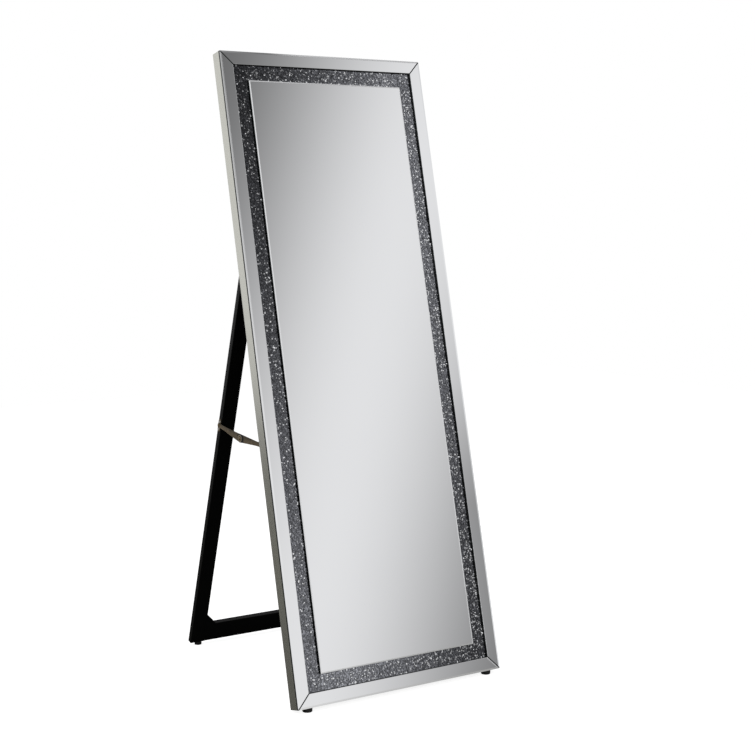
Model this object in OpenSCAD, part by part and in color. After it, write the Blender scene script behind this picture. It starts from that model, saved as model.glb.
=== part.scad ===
// Free-standing floor mirror: a leaning mirrored panel with a crushed crystal border,
// held up by a black frame that hinges on its back and is checked by two folding stays.
// Millimetres. +Z is up, the mirror faces -Y and the origin is on the floor, under the middle of the whole object.

/* [Panel] */
// Width of the panel across its front
panel_w = 600; // [480:10:800]
// Length of the panel along its own slope
panel_h = 1600; // [1400:10:1900]
// Thickness of the panel, from the face of the glass to the back
panel_t = 38; // [36:1:46]
// Lean of the panel back from upright, in degrees
panel_lean = 13.2; // [9:0.1:16]
// Height of the panel's lower front edge over the floor
panel_lift = 12; // [11:0.5:25]
// Radius of the panel's back arrises
rail_round = 2; // [0.5:0.5:5]
// Width and depth of the rebate that holds the back board
rebate_w = 10; // [6:1:16]
// Thickness of the back board
back_t = 9; // [6:1:10]
// Joint clearance between boards, glass and rails
fit_gap = 0.2; // [0.1:0.05:0.4]

/* [Mirrors] */
// Thickness of the mirror glass
glass_t = 4; // [3:0.5:6]
// Width of the mirrored strips round the edge
strip_w = 33; // [28:1:60]
// Width of the ground bevel on the outer edge of a strip
edge_bevel = 4.5; // [2:0.5:10]
// Depth of glass that this bevel takes off at the edge
bevel_drop = 0.8; // [0.4:0.1:1.6]
// Width of the ground seam on the inner edge of a strip
seam_bevel = 0.5; // [0.5:0.5:3]
// Gap that each strip leaves at its mitre
mitre_gap = 1.2; // [0.2:0.1:2]
// Width of the bevel round the centre mirror
centre_bevel = 3; // [2:0.5:20]
// Depth of glass that this bevel takes off at the edge
centre_drop = 0.8; // [0.4:0.1:1.6]
// How far the centre mirror overhangs the pad behind it
pad_inset = 3; // [1:0.5:8]

/* [Crystal border] */
// Width of the recessed border between the strips and the centre mirror
channel_w = 40; // [25:1:60]
// Depth of the border's floor behind the face of the glass
channel_d = 11; // [9:0.5:18]
// Size of one crystal
crystal = 8; // [7:0.5:14]
// Height of the lowest crystal over the floor of the border
crystal_low = 1.2; // [0.8:0.1:2]
// Height of the tallest crystal over the floor of the border
crystal_high = 5; // [3:0.5:7]
// How far a crystal's corner wanders off its grid, as a share of the crystal's size
crystal_wander = 0.24; // [0:0.02:0.24]

/* [Stand] */
// Distance of the stand's outer sides in from the panel's sides
stand_inset = 50; // [48:1:90]
// Lean of the stand from upright, in degrees
stand_lean = 16.45; // [12:0.05:20]
// Height of the stand's lower front edge over the floor
stand_lift = 8.5; // [7:0.5:16]
// Width of a leg, and of the upper rail
leg_w = 41; // [36:1:60]
// Thickness of the stand's members
leg_t = 16; // [14:1:24]
// Width of the lower rail
low_rail_w = 50; // [36:1:80]
// Side of the triangular gusset in each lower corner
gusset = 29; // [15:1:60]
// Radius of the long arrises of the stand
leg_round = 1.5; // [0.5:0.5:4]
// Diameter of the dowels in the stand's corners
dowel_d = 8; // [6:1:8]
// Length of the dowels
dowel_l = 40; // [24:2:50]

/* [Feet] */
// Radius of a panel foot
foot_r = 12; // [8:0.5:15]
// Distance of a panel foot's centre from the panel's side
foot_in = 34; // [20:1:80]
// Distance of a panel foot's centre behind the panel's lower front edge
foot_back = 16; // [15:0.5:20]
// Radius of a stand foot
stand_foot_r = 9.5; // [6:0.5:12]
// Distance of a stand foot's centre from the outer side of its leg
stand_foot_in = 26; // [14:1:60]
// Chamfer round the base of a foot
foot_chamfer = 1; // [0.5:0.5:3]

/* [Hinges] */
// Distance of the hinge axis up the panel from its lower edge
hinge_up = 1168; // [1000:1:1250]
// Length of a hinge along its pin
hinge_l = 60; // [50:1:80]
// Depth of a hinge leaf from the pin to its free edge
leaf_w = 24; // [20:1:36]
// Thickness of a hinge leaf
leaf_t = 1.5; // [1:0.1:2]
// Radius of the hinge barrel
barrel_r = 3.5; // [3.2:0.1:4]
// Radius of the hinge pin
pin_r = 1.6; // [1.2:0.1:1.8]
// Distance of a hinge's middle from the outer side of its leg
hinge_in = 35; // [32:1:60]

/* [Stays] */
// Distance of a stay's rear pivot up the leg from its lower end
stay_up = 639; // [500:1:760]
// Distance of a stay's front pivot behind the panel's back
stay_out = 12; // [10:0.5:16]
// How far the knuckle hangs below the straight line between the pivots
stay_sag = 8; // [3:0.5:20]
// Radius of an arm's end
arm_end_r = 5.5; // [4.5:0.5:7]
// Radius of an arm at its knuckle
arm_knuckle_r = 10.5; // [7:0.5:12]
// Length over which an arm tapers from its knuckle
arm_taper = 104; // [60:2:110]
// Thickness of an arm and of its brackets
arm_t = 1.6; // [1.2:0.1:2.4]
// Sideways offset of an arm from its end to its knuckle
arm_offset = 13.6; // [8:0.2:18]
// Thickness of the plate under a stay on the leg
plate_t = 1.2; // [1:0.1:2]
// Length of that plate
leg_plate_l = 34; // [30:1:70]
// Width of that plate
leg_plate_w = 12; // [9:0.5:14]
// Width of the bracket's foot on the panel's back
bracket_foot_w = 30; // [26:0.5:34]
// Length of that bracket
bracket_l = 44; // [36:1:60]
// Radius of a rivet's shank
rivet_r = 2; // [1.5:0.1:2.5]
// Radius of a rivet's head
rivet_head_r = 4; // [3.2:0.1:4.5]
// Height of a rivet's head
rivet_head_h = 1.1; // [0.8:0.1:1.3]
// Gap between parts that turn past each other
turn_gap = 0.3; // [0.2:0.05:0.4]
// Radial clearance of a pin or rivet in its hole
pin_gap = 0.05; // [0.02:0.01:0.08]

/* [Screws] */
// Radius of a wood screw's shank
screw_r = 1.6; // [1.2:0.1:1.8]
// Radius of a wood screw's head
screw_head_r = 3.2; // [2.6:0.1:3.4]
// Length of a wood screw
screw_l = 12; // [9:0.5:13]
// Number of back board screws along a long side
back_screws_long = 5; // [3:1:9]
// Number of back board screws along a short side
back_screws_short = 2; // [2:1:4]

/* [Hidden] */
$fn = 48;
LEFT = -1;
RIGHT = 1;

// Colours, as red, green and blue
champagne = [0.66, 0.65, 0.6];
mirror_silver = [0.8, 0.82, 0.84];
crystal_grey = [0.42, 0.43, 0.46];
board_black = [0.07, 0.07, 0.07];
paint_black = [0.03, 0.03, 0.03];
rubber_black = [0.05, 0.05, 0.05];
old_brass = [0.42, 0.37, 0.29];
hinge_steel = [0.55, 0.53, 0.48];
screw_zinc = [0.62, 0.62, 0.6];
beech = [0.76, 0.6, 0.42];

// Panel, in its own frame: X across from the middle, Y back from the face of the glass, Z up the slope
half_w = panel_w / 2;
border_w = strip_w + channel_w;
centre_w = panel_w - 2 * border_w;
centre_h = panel_h - 2 * border_w;
rail_t = panel_t - glass_t;
back_face = panel_t - back_t;
core_t = back_face - channel_d;
foot_x = half_w - foot_in;

// Stand, in its own frame: X across, Y back from its front face, Z up its slope from its lower end
stand_half = half_w - stand_inset;
stand_w = 2 * stand_half;
rail_span = stand_w - 2 * leg_w;
pin_off = barrel_r + 0.4;
leaf_clear = barrel_r + 0.5;
stand_drop = 5;
stand_foot_x = stand_half - stand_foot_in;
hinge_x = stand_half - hinge_in;
knuckle_l = hinge_l / 5;

// Side view of the whole, as [distance behind the panel's lower front edge, height]
function on_panel(y, z) = [
    y * cos(panel_lean) + z * sin(panel_lean),
    panel_lift - y * sin(panel_lean) + z * cos(panel_lean)
];
hinge_pt = on_panel(panel_t + pin_off, hinge_up);
stand_reach = (hinge_pt[1] - stand_lift + pin_off * sin(stand_lean)) / cos(stand_lean);
stand_back = hinge_pt[0] + stand_reach * sin(stand_lean) + pin_off * cos(stand_lean);
function on_stand(y, z) = [
    stand_back + y * cos(stand_lean) - z * sin(stand_lean),
    stand_lift + y * sin(stand_lean) + z * cos(stand_lean)
];
leg_l = stand_reach - stand_drop;
stand_foot_back = stand_back + leg_t / 2 * cos(stand_lean);
front_most = min(on_panel(0, edge_bevel)[0], on_panel(bevel_drop, 0)[0]);
rear_most = max(stand_foot_back + stand_foot_r, on_stand(leg_t, 0)[0]);
front_y = -(front_most + rear_most) / 2;

// Folding stay: both pivots lie equally far from the hinge axis, so the arms are equal and fold flat
rear_pivot = on_stand(leg_t / 2, stay_up);
stay_radius = norm(rear_pivot - hinge_pt);
stay_panel_up = hinge_up - sqrt(stay_radius * stay_radius - (stay_out - pin_off) * (stay_out - pin_off));
front_pivot = on_panel(panel_t + stay_out, stay_panel_up);
span = front_pivot - rear_pivot;
half_span = norm(span) / 2;
arm_l = sqrt(half_span * half_span + stay_sag * stay_sag);
knuckle_pt = (rear_pivot + front_pivot) / 2 + stay_sag * [-span[1], span[0]] / norm(span);
rear_arm_angle = atan2(knuckle_pt[1] - rear_pivot[1], knuckle_pt[0] - rear_pivot[0]);
front_arm_angle = atan2(knuckle_pt[1] - front_pivot[1], knuckle_pt[0] - front_pivot[0]);

// Sideways places in a stay, as distances outward from the leg's side face
rear_arm_x = plate_t + turn_gap;
leg_head_x = rear_arm_x + arm_t + turn_gap;
rear_lap_x = rear_arm_x + arm_offset;
front_lap_x = rear_lap_x + arm_t + turn_gap;
front_arm_x = front_lap_x + arm_offset;
bracket_x = front_arm_x + arm_t + turn_gap;
bracket_screw_z = bracket_l / 2 - 7;
plate_screw_z = (leg_plate_l - leg_plate_w) / 2 - 1;

module in_panel() {
    translate([0, front_y, panel_lift]) rotate([-panel_lean, 0, 0]) children();
}

module in_stand() {
    translate([0, front_y + stand_back, stand_lift]) rotate([stand_lean, 0, 0]) children();
}

// Draws its children, made for the right-hand side, on either side
module on_hand(hand) {
    mirror([hand == LEFT ? 1 : 0, 0, 0]) children();
}

// Places a bar drawn along X, outer edge down, on one side of the panel
module at_bottom() {
    children();
}

module at_top() {
    translate([0, 0, panel_h]) rotate([0, 180, 0]) children();
}

module at_left() {
    translate([-half_w, 0, panel_h / 2]) rotate([0, 90, 0]) children();
}

module at_right() {
    translate([half_w, 0, panel_h / 2]) rotate([0, -90, 0]) children();
}

// Sweeps a section, drawn as depth and height, along X and mitres both ends
module mitred_bar(length, width, gap) {
    intersection() {
        translate([-length / 2, 0, 0]) rotate([90, 0, 90]) linear_extrude(length) children();
        translate([0, panel_t + 1, 0]) rotate([90, 0, 0]) linear_extrude(panel_t + 2)
            polygon([
                [-length / 2 + gap, -0.01], [length / 2 - gap, -0.01],
                [length / 2 - gap - width - 0.02, width + 0.01], [-length / 2 + gap + width + 0.02, width + 0.01]
            ]);
    }
}

// Section of a rail: rebated inside for the back board, rounded on its back arris
module rail_section() {
    difference() {
        translate([glass_t, 0]) square([rail_t, strip_w]);
        translate([back_face, strip_w - rebate_w]) square([back_t + 1, rebate_w + 1]);
        translate([panel_t - rail_round, 0]) difference() {
            translate([0, -1]) square([rail_round + 1, rail_round + 1]);
            translate([0, rail_round]) circle(rail_round);
        }
    }
}

// Section of a mirrored strip: a ground bevel outside and a narrow seam inside
module strip_section() {
    polygon([
        [glass_t, 0], [bevel_drop, 0], [0, edge_bevel], [0, strip_w - seam_bevel],
        [seam_bevel / 2, strip_w], [glass_t, strip_w]
    ]);
}

module rail(length) {
    color(champagne) mitred_bar(length, strip_w, 0) rail_section();
}

module strip(length) {
    color(mirror_silver) mitred_bar(length, strip_w, mitre_gap) strip_section();
}

module rail_left() {
    in_panel() at_left() rail(panel_h);
}

module rail_right() {
    in_panel() at_right() rail(panel_h);
}

module rail_top() {
    in_panel() at_top() rail(panel_w);
}

module rail_bottom() {
    in_panel() at_bottom() rail(panel_w);
}

module strip_left() {
    in_panel() at_left() strip(panel_h);
}

module strip_right() {
    in_panel() at_right() strip(panel_h);
}

module strip_top() {
    in_panel() at_top() strip(panel_w);
}

module strip_bottom() {
    in_panel() at_bottom() strip(panel_w);
}

// A board that leaves the same margin on all sides of the panel
module inset_board(margin, front, thick) {
    translate([margin - half_w, front, margin])
        cube([panel_w - 2 * margin, thick, panel_h - 2 * margin]);
}

module core_board() {
    color(board_black) in_panel() inset_board(strip_w + fit_gap, channel_d, core_t);
}

module back_board() {
    color(board_black) in_panel() inset_board(strip_w - rebate_w + fit_gap, back_face, back_t);
}

module mirror_pad() {
    color(board_black) in_panel() inset_board(border_w + pad_inset, glass_t, channel_d - glass_t);
}

// Section of bevelled glass of a given width, as width and depth
module bevelled_section(width) {
    polygon([
        [-width / 2, glass_t], [-width / 2, centre_drop], [centre_bevel - width / 2, 0],
        [width / 2 - centre_bevel, 0], [width / 2, centre_drop], [width / 2, glass_t]
    ]);
}

module centre_mirror() {
    color(mirror_silver) in_panel() translate([0, 0, panel_h / 2]) intersection() {
        translate([0, 0, -centre_h / 2]) linear_extrude(centre_h) bevelled_section(centre_w);
        translate([-centre_w / 2, 0, 0]) rotate([0, 90, 0]) linear_extrude(centre_w)
            bevelled_section(centre_h);
    }
}

// A sheet of crushed crystal: one faceted surface whose corners wander and rise at random, over a flat back
module crystal_sheet(width, height, seed) {
    nx = max(2, round(width / crystal));
    nz = max(2, round(height / crystal));
    count = (nx + 1) * (nz + 1);
    sideways = rands(-1, 1, count, seed);
    upward = rands(-1, 1, count, seed + 1);
    rise = rands(crystal_low, crystal_high, count, seed + 2);
    step_x = width / nx;
    step_z = height / nz;
    function at(i, j) = i + j * (nx + 1);
    function wander(k, n, list, index) = (k == 0 || k == n) ? 0 : crystal_wander * list[index];
    surface_pts = [
        for (j = [0:nz], i = [0:nx]) [
            (i + wander(i, nx, sideways, at(i, j))) * step_x,
            -rise[at(i, j)],
            (j + wander(j, nz, upward, at(i, j))) * step_z
        ]
    ];
    rim = concat(
        [for (i = [0:nx]) at(i, 0)], [for (j = [1:nz]) at(nx, j)],
        [for (i = [nx - 1:-1:0]) at(i, nz)], [for (j = [nz - 1:-1:1]) at(0, j)]
    );
    rim_count = len(rim);
    function below(k) = count + k % rim_count;
    back_pts = concat([for (k = rim) [surface_pts[k][0], 0, surface_pts[k][2]]], [[width / 2, 0, height / 2]]);
    facets = [
        for (j = [0:nz - 1], i = [0:nx - 1], half = [0, 1])
            (i + j) % 2 == 0
                ? (half == 0 ? [at(i, j), at(i + 1, j + 1), at(i + 1, j)] : [at(i, j), at(i, j + 1), at(i + 1, j + 1)])
                : (half == 0 ? [at(i, j), at(i, j + 1), at(i + 1, j)] : [at(i + 1, j), at(i, j + 1), at(i + 1, j + 1)])
    ];
    walls = [
        for (k = [0:rim_count - 1], half = [0, 1])
            half == 0
                ? [rim[k], rim[(k + 1) % rim_count], below(k + 1)]
                : [rim[k], below(k + 1), below(k)]
    ];
    back = [for (k = [0:rim_count - 1]) [below(k), below(k + 1), count + rim_count]];
    color(crystal_grey)
        polyhedron(concat(surface_pts, back_pts), concat(facets, walls, back));
}

// The side sheets run the full height of the border and the short ones lie between them
side_sheet_w = channel_w - 2 * fit_gap;
side_sheet_h = panel_h - 2 * strip_w - 2 * fit_gap;

module side_crystals(left_edge, seed) {
    in_panel() translate([left_edge + fit_gap, channel_d, strip_w + fit_gap])
        crystal_sheet(side_sheet_w, side_sheet_h, seed);
}

module cross_crystals(lower_edge, seed) {
    in_panel() translate([-centre_w / 2, channel_d, lower_edge + fit_gap])
        crystal_sheet(centre_w, side_sheet_w, seed);
}

module crystals_left() {
    side_crystals(strip_w - half_w, 11);
}

module crystals_right() {
    side_crystals(centre_w / 2, 21);
}

module crystals_top() {
    cross_crystals(panel_h - border_w, 31);
}

module crystals_bottom() {
    cross_crystals(strip_w, 41);
}

// A countersunk wood screw along -Z, its head flush with Z = 0
module screw(length = screw_l) {
    translate([0, 0, -leaf_t]) cylinder(h = leaf_t, r1 = screw_r, r2 = screw_head_r);
    translate([0, 0, -length]) cylinder(h = length, r = screw_r);
}

// Hole for that screw in a plate whose outer face is at Z = 0
module screw_hole() {
    translate([0, 0, -leaf_t]) cylinder(h = leaf_t + 0.01, r1 = screw_r + 0.15, r2 = screw_head_r + 0.15);
    translate([0, 0, -leaf_t - 3]) cylinder(h = leaf_t + 3, r = screw_r + 0.15);
}

// A position in the middle of the rebate's overlap, along a side
function spread(k, n, length) = (k + 0.5) * length / n;

module back_board_screws() {
    edge = strip_w - rebate_w / 2;
    color(screw_zinc) in_panel() {
        for (k = [0:back_screws_long - 1], x = [edge - half_w, half_w - edge])
            translate([x, panel_t, spread(k, back_screws_long, panel_h)]) rotate([-90, 0, 0]) screw();
        for (k = [0:back_screws_short - 1], z = [edge, panel_h - edge])
            translate([spread(k, back_screws_short, panel_w) - half_w, panel_t, z]) rotate([-90, 0, 0]) screw();
    }
}

// A turned foot, upright on the floor, taller than its seat
module foot_blank(radius, height) {
    rotate_extrude() polygon([
        [0, 0], [radius - foot_chamfer, 0], [radius, foot_chamfer], [radius, height], [0, height]
    ]);
}

module panel_foot(hand) {
    color(rubber_black) difference() {
        translate([hand * foot_x, front_y + foot_back, 0]) foot_blank(foot_r, panel_lift + 2 * foot_r);
        in_panel() translate([-half_w, -panel_t, 0]) cube([panel_w, 3 * panel_t, 4 * foot_r + panel_lift]);
    }
}

module stand_foot(hand) {
    color(rubber_black) difference() {
        translate([hand * stand_foot_x, front_y + stand_foot_back, 0])
            foot_blank(stand_foot_r, stand_lift + 2 * stand_foot_r);
        in_stand() translate([-stand_half, -leg_t, 0]) cube([stand_w, 3 * leg_t, 4 * stand_foot_r + stand_lift]);
    }
}

module panel_foot_left() {
    panel_foot(LEFT);
}

module panel_foot_right() {
    panel_foot(RIGHT);
}

module stand_foot_left() {
    stand_foot(LEFT);
}

module stand_foot_right() {
    stand_foot(RIGHT);
}

// A stand member's section, centred on X and running back from Y = 0
module member_section(width) {
    translate([-width / 2, 0]) difference() {
        square([width, leg_t]);
        for (x = [0, 1], y = [0, 1])
            translate([x * width, y * leg_t]) mirror([x, 0]) mirror([0, y]) difference() {
                translate([-1, -1]) square(leg_round + 1);
                translate([leg_round, leg_round]) circle(leg_round);
            }
    }
}

module member(width, length) {
    linear_extrude(length) member_section(width);
}

// Heights of the dowels in a rail of a given width whose lower edge is at z
function dowel_heights(z, width) = [z + width / 5, z + width / 2];
all_dowel_heights = concat(dowel_heights(0, low_rail_w), dowel_heights(leg_l - leg_w, leg_w));

// The dowels' cylinders, across the joint of the right leg and the rails
module dowel_rods(gap) {
    for (z = all_dowel_heights)
        translate([rail_span / 2 - dowel_l / 2 - gap, leg_t / 2, z]) rotate([0, 90, 0])
            cylinder(h = dowel_l + 2 * gap, d = dowel_d + 2 * gap);
}

module leg(hand) {
    color(paint_black) in_stand() on_hand(hand) difference() {
        translate([stand_half - leg_w / 2, 0, 0]) member(leg_w, leg_l);
        dowel_rods(pin_gap);
    }
}

module stand_rail(lower_edge, width) {
    color(paint_black) in_stand() difference() {
        translate([-rail_span / 2, 0, lower_edge + width / 2]) rotate([0, 90, 0]) member(width, rail_span);
        for (hand = [LEFT, RIGHT]) on_hand(hand) dowel_rods(pin_gap);
    }
}

module leg_left() {
    leg(LEFT);
}

module leg_right() {
    leg(RIGHT);
}

module stand_rail_top() {
    stand_rail(leg_l - leg_w, leg_w);
}

module stand_rail_bottom() {
    stand_rail(0, low_rail_w);
}

module gusset_block(hand) {
    color(paint_black) in_stand() on_hand(hand)
        translate([rail_span / 2, leg_t, low_rail_w]) rotate([90, 0, 0]) linear_extrude(leg_t)
            polygon([[0, 0], [-gusset, 0], [0, gusset]]);
}

module gusset_left() {
    gusset_block(LEFT);
}

module gusset_right() {
    gusset_block(RIGHT);
}

module stand_dowels() {
    color(beech) in_stand() for (hand = [LEFT, RIGHT]) on_hand(hand) dowel_rods(0);
}

// Places of the screws in a hinge leaf, as distance from its middle and below its pin
leaf_screws = [
    [-hinge_l / 2 + 8, leaf_w - 8], [0, leaf_w - 12], [hinge_l / 2 - 8, leaf_w - 8]
];

// A hinge leaf hanging from a pin along X. Its mounting face is at Y = -pin_off and it owns the listed knuckles
module hinge_leaf(knuckles) {
    difference() {
        union() {
            translate([-hinge_l / 2, -pin_off, -leaf_w]) cube([hinge_l, leaf_t, leaf_w - leaf_clear]);
            for (k = knuckles) translate([-hinge_l / 2 + k * knuckle_l + turn_gap / 2, 0, 0]) {
                translate([0, -pin_off, -leaf_clear - 0.5]) cube([knuckle_l - turn_gap, leaf_t, leaf_clear + 0.5]);
                rotate([0, 90, 0]) cylinder(h = knuckle_l - turn_gap, r = barrel_r);
            }
        }
        translate([-hinge_l / 2 - 1, 0, 0]) rotate([0, 90, 0]) cylinder(h = hinge_l + 2, r = pin_r + pin_gap);
        for (p = leaf_screws) translate([p[0], leaf_t - pin_off, -p[1]]) rotate([-90, 0, 0]) screw_hole();
    }
}

module panel_leaf(hand) {
    color(hinge_steel) in_panel() translate([hand * hinge_x, panel_t + pin_off, hinge_up]) hinge_leaf([0, 2, 4]);
}

module stand_leaf(hand) {
    color(hinge_steel) in_stand() translate([hand * hinge_x, -pin_off, stand_reach])
        mirror([0, 1, 0]) hinge_leaf([1, 3]);
}

// A pin with a low head at each end of the barrel
module hinge_pin(hand) {
    head_h = 1;
    color(hinge_steel) in_panel() translate([hand * hinge_x - hinge_l / 2, panel_t + pin_off, hinge_up])
        rotate([0, 90, 0]) {
            cylinder(h = hinge_l, r = pin_r);
            for (z = [-head_h, hinge_l]) translate([0, 0, z]) cylinder(h = head_h, r = barrel_r - 0.7);
        }
}

module panel_leaf_left() {
    panel_leaf(LEFT);
}

module panel_leaf_right() {
    panel_leaf(RIGHT);
}

module stand_leaf_left() {
    stand_leaf(LEFT);
}

module stand_leaf_right() {
    stand_leaf(RIGHT);
}

module hinge_pin_left() {
    hinge_pin(LEFT);
}

module hinge_pin_right() {
    hinge_pin(RIGHT);
}

module panel_leaf_screws() {
    color(screw_zinc) in_panel() for (hand = [LEFT, RIGHT], p = leaf_screws)
        translate([hand * hinge_x + p[0], panel_t + leaf_t, hinge_up - p[1]]) rotate([-90, 0, 0]) screw();
}

module stand_leaf_screws() {
    color(screw_zinc) in_stand() for (hand = [LEFT, RIGHT], p = leaf_screws)
        translate([hand * hinge_x + p[0], -leaf_t, stand_reach - p[1]]) rotate([90, 0, 0]) screw();
}

// Block with an arm's side view, along +Y from its outer pivot: parallel at first, then tapered out to the knuckle
module arm_block(height) {
    start = arm_l - arm_taper;
    turn = atan2(arm_end_r, -arm_taper) - acos(arm_knuckle_r / norm([arm_taper, arm_end_r]));
    touch = arm_knuckle_r * [cos(turn), sin(turn)];
    rotate([90, 0, 90]) linear_extrude(height) polygon([
        [0, arm_end_r], [start, arm_end_r], [arm_l + touch[0], touch[1]],
        [arm_l + touch[0], -touch[1]], [start, -arm_end_r], [0, -arm_end_r]
    ]);
    rotate([0, 90, 0]) cylinder(h = height, r = arm_end_r);
    translate([0, arm_l, 0]) rotate([0, 90, 0]) cylinder(h = height, r = arm_knuckle_r);
}

// Top view of an arm: a strip that is flat at both pivots and steps sideways between them
module arm_step(offset) {
    bend_a = arm_end_r + 6;
    bend_b = arm_l - arm_knuckle_r - 4;
    far = arm_l + arm_knuckle_r + 1;
    polygon([
        [-arm_end_r - 1, 0], [bend_a, 0], [bend_b, offset], [far, offset],
        [far, offset + arm_t], [bend_b, offset + arm_t], [bend_a, arm_t], [-arm_end_r - 1, arm_t]
    ]);
}

// A stay arm along +Y from its outer pivot, its inner face at X = 0 there, stepping towards +X or -X
module arm(offset) {
    reach = arm_knuckle_r + 2;
    low = min(0, offset) - 1;
    color(old_brass) difference() {
        intersection() {
            translate([low, 0, 0]) arm_block(abs(offset) + arm_t + 2);
            translate([0, 0, -reach]) linear_extrude(2 * reach) mirror([1, -1]) arm_step(offset);
        }
        for (p = [[-1, 0], [offset - 1, arm_l]])
            translate([p[0], p[1], 0]) rotate([0, 90, 0]) cylinder(h = arm_t + 2, r = rivet_r + pin_gap);
    }
}

// Places its children with X outward from the leg's side, +Y along an arm from its pivot
module at_rear_arm(hand) {
    on_hand(hand) translate([stand_half, front_y + rear_pivot[0], rear_pivot[1]])
        rotate([rear_arm_angle, 0, 0]) children();
}

module at_front_arm(hand) {
    on_hand(hand) translate([stand_half, front_y + front_pivot[0], front_pivot[1]])
        rotate([front_arm_angle, 0, 0]) children();
}

module rear_arm(hand) {
    at_rear_arm(hand) translate([rear_arm_x, 0, 0]) arm(arm_offset);
}

module front_arm(hand) {
    at_front_arm(hand) translate([front_arm_x, 0, 0]) arm(-arm_offset);
}

module rear_arm_left() {
    rear_arm(LEFT);
}

module rear_arm_right() {
    rear_arm(RIGHT);
}

module front_arm_left() {
    front_arm(LEFT);
}

module front_arm_right() {
    front_arm(RIGHT);
}

// A domed rivet head along +X from X = 0
module rivet_head() {
    rotate([0, 90, 0]) rotate_extrude() intersection() {
        square([rivet_head_r, rivet_head_h]);
        sphere_r = (rivet_head_r * rivet_head_r + rivet_head_h * rivet_head_h) / (2 * rivet_head_h);
        translate([0, rivet_head_h - sphere_r]) circle(sphere_r, $fn = 160);
    }
}

module rivet_shank(from, to) {
    translate([from, 0, 0]) rotate([0, 90, 0]) cylinder(h = to - from, r = rivet_r);
}

// The knuckle's rivet in two halves, one in each arm, that meet with a gap between the arms
module rear_knuckle_rivet(hand) {
    color(old_brass) at_rear_arm(hand) translate([rear_lap_x, arm_l, 0]) {
        rivet_shank(0, arm_t);
        mirror([1, 0, 0]) rivet_head();
    }
}

module front_knuckle_rivet(hand) {
    color(old_brass) at_front_arm(hand) translate([front_lap_x, arm_l, 0]) {
        rivet_shank(0, arm_t);
        translate([arm_t, 0, 0]) rivet_head();
    }
}

module rear_knuckle_rivet_left() {
    rear_knuckle_rivet(LEFT);
}

module rear_knuckle_rivet_right() {
    rear_knuckle_rivet(RIGHT);
}

module front_knuckle_rivet_left() {
    front_knuckle_rivet(LEFT);
}

module front_knuckle_rivet_right() {
    front_knuckle_rivet(RIGHT);
}

// Plate on the side of a leg, with the rear pivot in its middle
module leg_plate(hand) {
    color(old_brass) in_stand() on_hand(hand) translate([stand_half, leg_t / 2, stay_up]) difference() {
        rotate([90, 0, 90]) linear_extrude(plate_t) {
            square([leg_plate_w, leg_plate_l - leg_plate_w], center = true);
            for (z = [-1, 1]) translate([0, z * (leg_plate_l - leg_plate_w) / 2]) circle(d = leg_plate_w);
        }
        translate([-1, 0, 0]) rotate([0, 90, 0]) cylinder(h = plate_t + 2, r = rivet_r + pin_gap);
        for (z = [-1, 1]) translate([plate_t, 0, z * plate_screw_z]) rotate([0, 90, 0]) screw_hole();
    }
}

module leg_plate_left() {
    leg_plate(LEFT);
}

module leg_plate_right() {
    leg_plate(RIGHT);
}

module leg_plate_screws() {
    color(screw_zinc) in_stand() for (hand = [LEFT, RIGHT], z = [-1, 1])
        on_hand(hand) translate([stand_half + plate_t, leg_t / 2, stay_up + z * plate_screw_z])
            rotate([0, 90, 0]) screw();
}

module leg_rivets() {
    color(old_brass) in_stand() for (hand = [LEFT, RIGHT])
        on_hand(hand) translate([stand_half, leg_t / 2, stay_up]) {
            rivet_shank(0, leg_head_x);
            translate([leg_head_x, 0, 0]) rivet_head();
        }
}

// Angle bracket on the panel's back: a foot towards the middle and an ear that carries the front pivot
module panel_bracket(hand) {
    ear_l = bracket_l - 2 * arm_end_r;
    color(old_brass) in_panel() on_hand(hand)
        translate([stand_half + bracket_x, panel_t, stay_panel_up]) difference() {
            union() {
                translate([arm_t - bracket_foot_w, 0, -bracket_l / 2]) cube([bracket_foot_w, arm_t, bracket_l]);
                rotate([90, 0, 90]) linear_extrude(arm_t) {
                    polygon([
                        [0, -bracket_l / 2], [arm_t, -bracket_l / 2], [stay_out, -arm_end_r],
                        [stay_out, arm_end_r], [arm_t, bracket_l / 2], [0, bracket_l / 2]
                    ]);
                    translate([stay_out, 0]) circle(arm_end_r);
                }
            }
            translate([-1, stay_out, 0]) rotate([0, 90, 0]) cylinder(h = arm_t + 2, r = rivet_r + pin_gap);
            for (z = [-1, 1]) translate([arm_t - bracket_foot_w / 2, arm_t, z * bracket_screw_z])
                rotate([-90, 0, 0]) screw_hole();
        }
}

module panel_bracket_left() {
    panel_bracket(LEFT);
}

module panel_bracket_right() {
    panel_bracket(RIGHT);
}

// Bracket screws stop short of the back board's inner face
module panel_bracket_screws() {
    x = stand_half + bracket_x + arm_t - bracket_foot_w / 2;
    length = arm_t + back_t - 1.5;
    color(screw_zinc) in_panel() for (hand = [LEFT, RIGHT], z = [-1, 1])
        translate([hand * x, panel_t + arm_t, stay_panel_up + z * bracket_screw_z])
            rotate([-90, 0, 0]) screw(length);
}

module panel_rivets() {
    color(old_brass) in_panel() for (hand = [LEFT, RIGHT])
        on_hand(hand) translate([stand_half, panel_t + stay_out, stay_panel_up]) {
            rivet_shank(front_arm_x - turn_gap, bracket_x + arm_t);
            translate([front_arm_x - turn_gap, 0, 0]) mirror([1, 0, 0]) rivet_head();
            translate([bracket_x + arm_t, 0, 0]) rivet_head();
        }
}

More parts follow.
